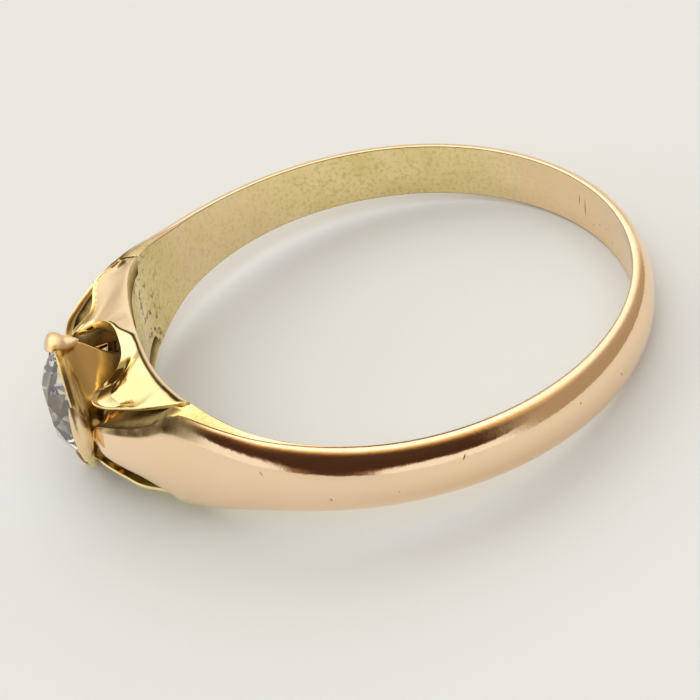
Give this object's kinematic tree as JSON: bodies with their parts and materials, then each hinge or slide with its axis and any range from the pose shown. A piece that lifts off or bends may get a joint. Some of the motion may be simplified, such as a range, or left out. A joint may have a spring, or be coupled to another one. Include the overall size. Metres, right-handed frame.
{
  "type": "engagement ring",
  "caption": "Gold split-shoulder solitaire ring: D-section band, scalloped side galleries, fluted cup with leaf claws and a round old-cut diamond.",
  "frame": {"origin": "bottom centre of the ring's box as it lies on its side", "axes": "+Z along the finger hole, -X towards the stone, so the ring is symmetric about the XZ plane and about its mid-plane"},
  "size_m": [0.02, 0.018, 0.0054],
  "materials": {
    "band_gold": "polished rose-yellow gold outside, satin and mottled on the finger side, fine wear scratches",
    "gallery_gold": "polished yellow gold with small pits and rolled edges",
    "collet_gold": "polished deep yellow gold in the flutes, amber where it is shaded",
    "claw_gold": "worn, lightly hammered pale gold",
    "diamond": "clear, polished facets"
  },
  "bodies": {
    "root": {"shank": "band_gold", "shoulder_front": "band_gold", "shoulder_rear": "band_gold", "gallery_upper": "gallery_gold", "gallery_lower": "gallery_gold", "collet": "collet_gold", "claw_1": "claw_gold", "claw_2": "claw_gold", "claw_3": "claw_gold", "claw_4": "claw_gold", "diamond": "diamond"}
  },
  "joints": []
}
